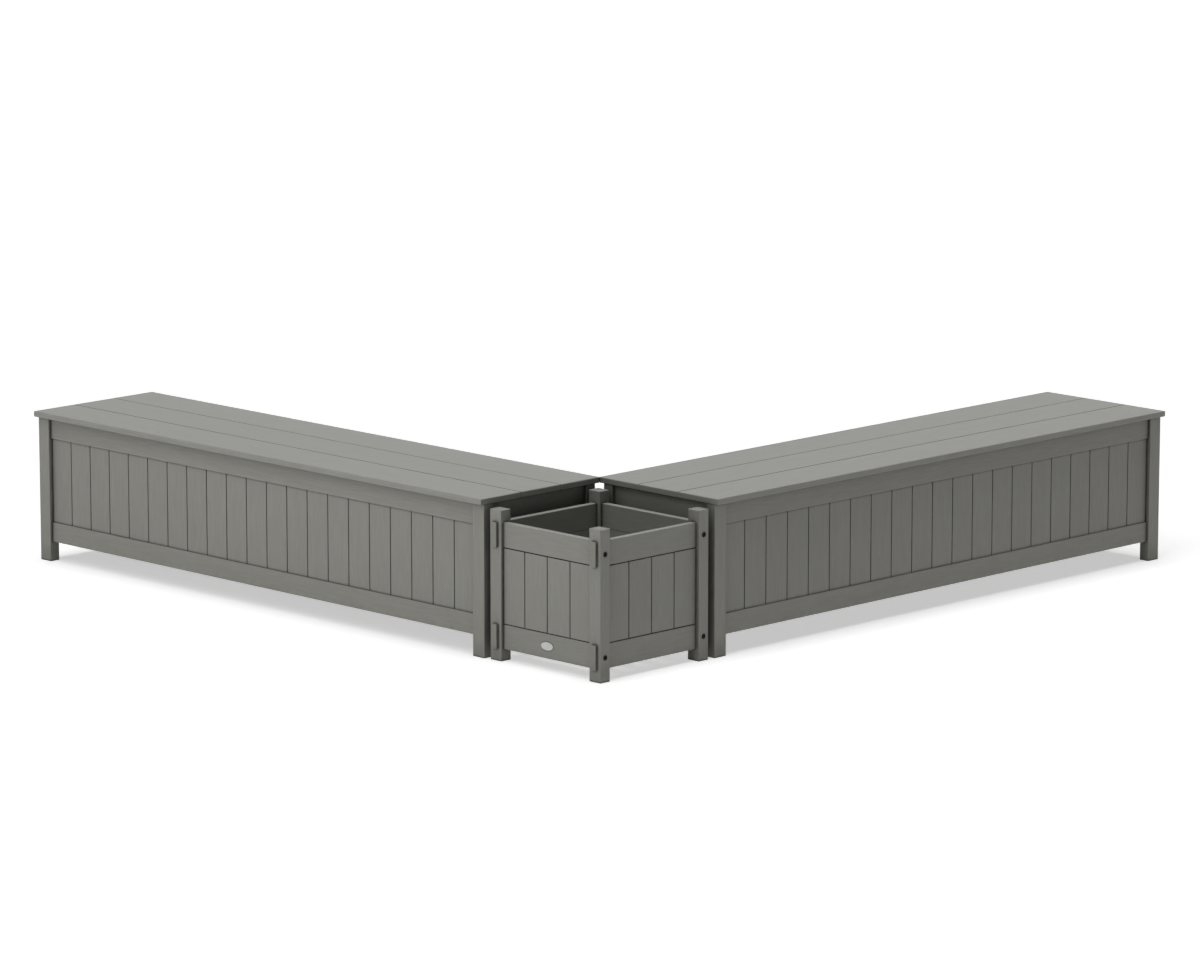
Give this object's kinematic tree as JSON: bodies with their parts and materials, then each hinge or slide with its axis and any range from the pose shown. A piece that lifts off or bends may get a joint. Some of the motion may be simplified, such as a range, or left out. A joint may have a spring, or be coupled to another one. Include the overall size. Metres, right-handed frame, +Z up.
{
  "type": "bench with planter",
  "caption": "Corner set of backless box benches at a right angle with a square planter in the outer corner, of plastic lumber with panelled sides and mortised posts.",
  "frame": {"origin": "on the floor under the middle of the whole set's bounding box", "axes": "+Z up; +X along the front bench towards the planter; +Y along the side bench away from the planter"},
  "size_m": [2.279, 2.2812, 0.433],
  "materials": {
    "lumber": "matt, fine grained",
    "bolt_black": "satin black",
    "steel": "plain",
    "badge_metal": "satin, blank"
  },
  "bodies": {
    "root": {"front_bench_end_rails_left": "lumber", "front_bench_end_rails_right": "lumber", "front_bench_leg_left_back": "lumber", "front_bench_leg_left_front": "lumber", "front_bench_leg_right_back": "lumber", "front_bench_leg_right_front": "lumber", "front_bench_lower_rail_back": "lumber", "front_bench_lower_rail_front": "lumber", "front_bench_planks_back": "lumber", "front_bench_planks_front": "lumber", "front_bench_planks_left": "lumber", "front_bench_planks_right": "lumber", "front_bench_screws": "steel", "front_bench_seat_board_back": "lumber", "front_bench_seat_board_front": "lumber", "front_bench_seat_board_middle": "lumber", "front_bench_seat_braces": "lumber", "front_bench_upper_rail_back": "lumber", "front_bench_upper_rail_front": "lumber", "planter_badge": "badge_metal", "planter_bolts": "bolt_black", "planter_floor_cleats": "lumber", "planter_floor_screws": "steel", "planter_floor_slats": "lumber", "planter_lower_cross_rail_back": "lumber", "planter_lower_cross_rail_front": "lumber", "planter_lower_tenon_rail_left": "lumber", "planter_lower_tenon_rail_right": "lumber", "planter_planks_back": "lumber", "planter_planks_front": "lumber", "planter_planks_left": "lumber", "planter_planks_right": "lumber", "planter_post_left_back": "lumber", "planter_post_left_front": "lumber", "planter_post_right_back": "lumber", "planter_post_right_front": "lumber", "planter_threaded_inserts": "steel", "planter_upper_cross_rail_back": "lumber", "planter_upper_cross_rail_front": "lumber", "planter_upper_tenon_rail_left": "lumber", "planter_upper_tenon_rail_right": "lumber", "side_bench_end_rails_left": "lumber", "side_bench_end_rails_right": "lumber", "side_bench_leg_left_back": "lumber", "side_bench_leg_left_front": "lumber", "side_bench_leg_right_back": "lumber", "side_bench_leg_right_front": "lumber", "side_bench_lower_rail_back": "lumber", "side_bench_lower_rail_front": "lumber", "side_bench_planks_back": "lumber", "side_bench_planks_front": "lumber", "side_bench_planks_left": "lumber", "side_bench_planks_right": "lumber", "side_bench_screws": "steel", "side_bench_seat_board_back": "lumber", "side_bench_seat_board_front": "lumber", "side_bench_seat_board_middle": "lumber", "side_bench_seat_braces": "lumber", "side_bench_upper_rail_back": "lumber", "side_bench_upper_rail_front": "lumber"}
  },
  "joints": []
}
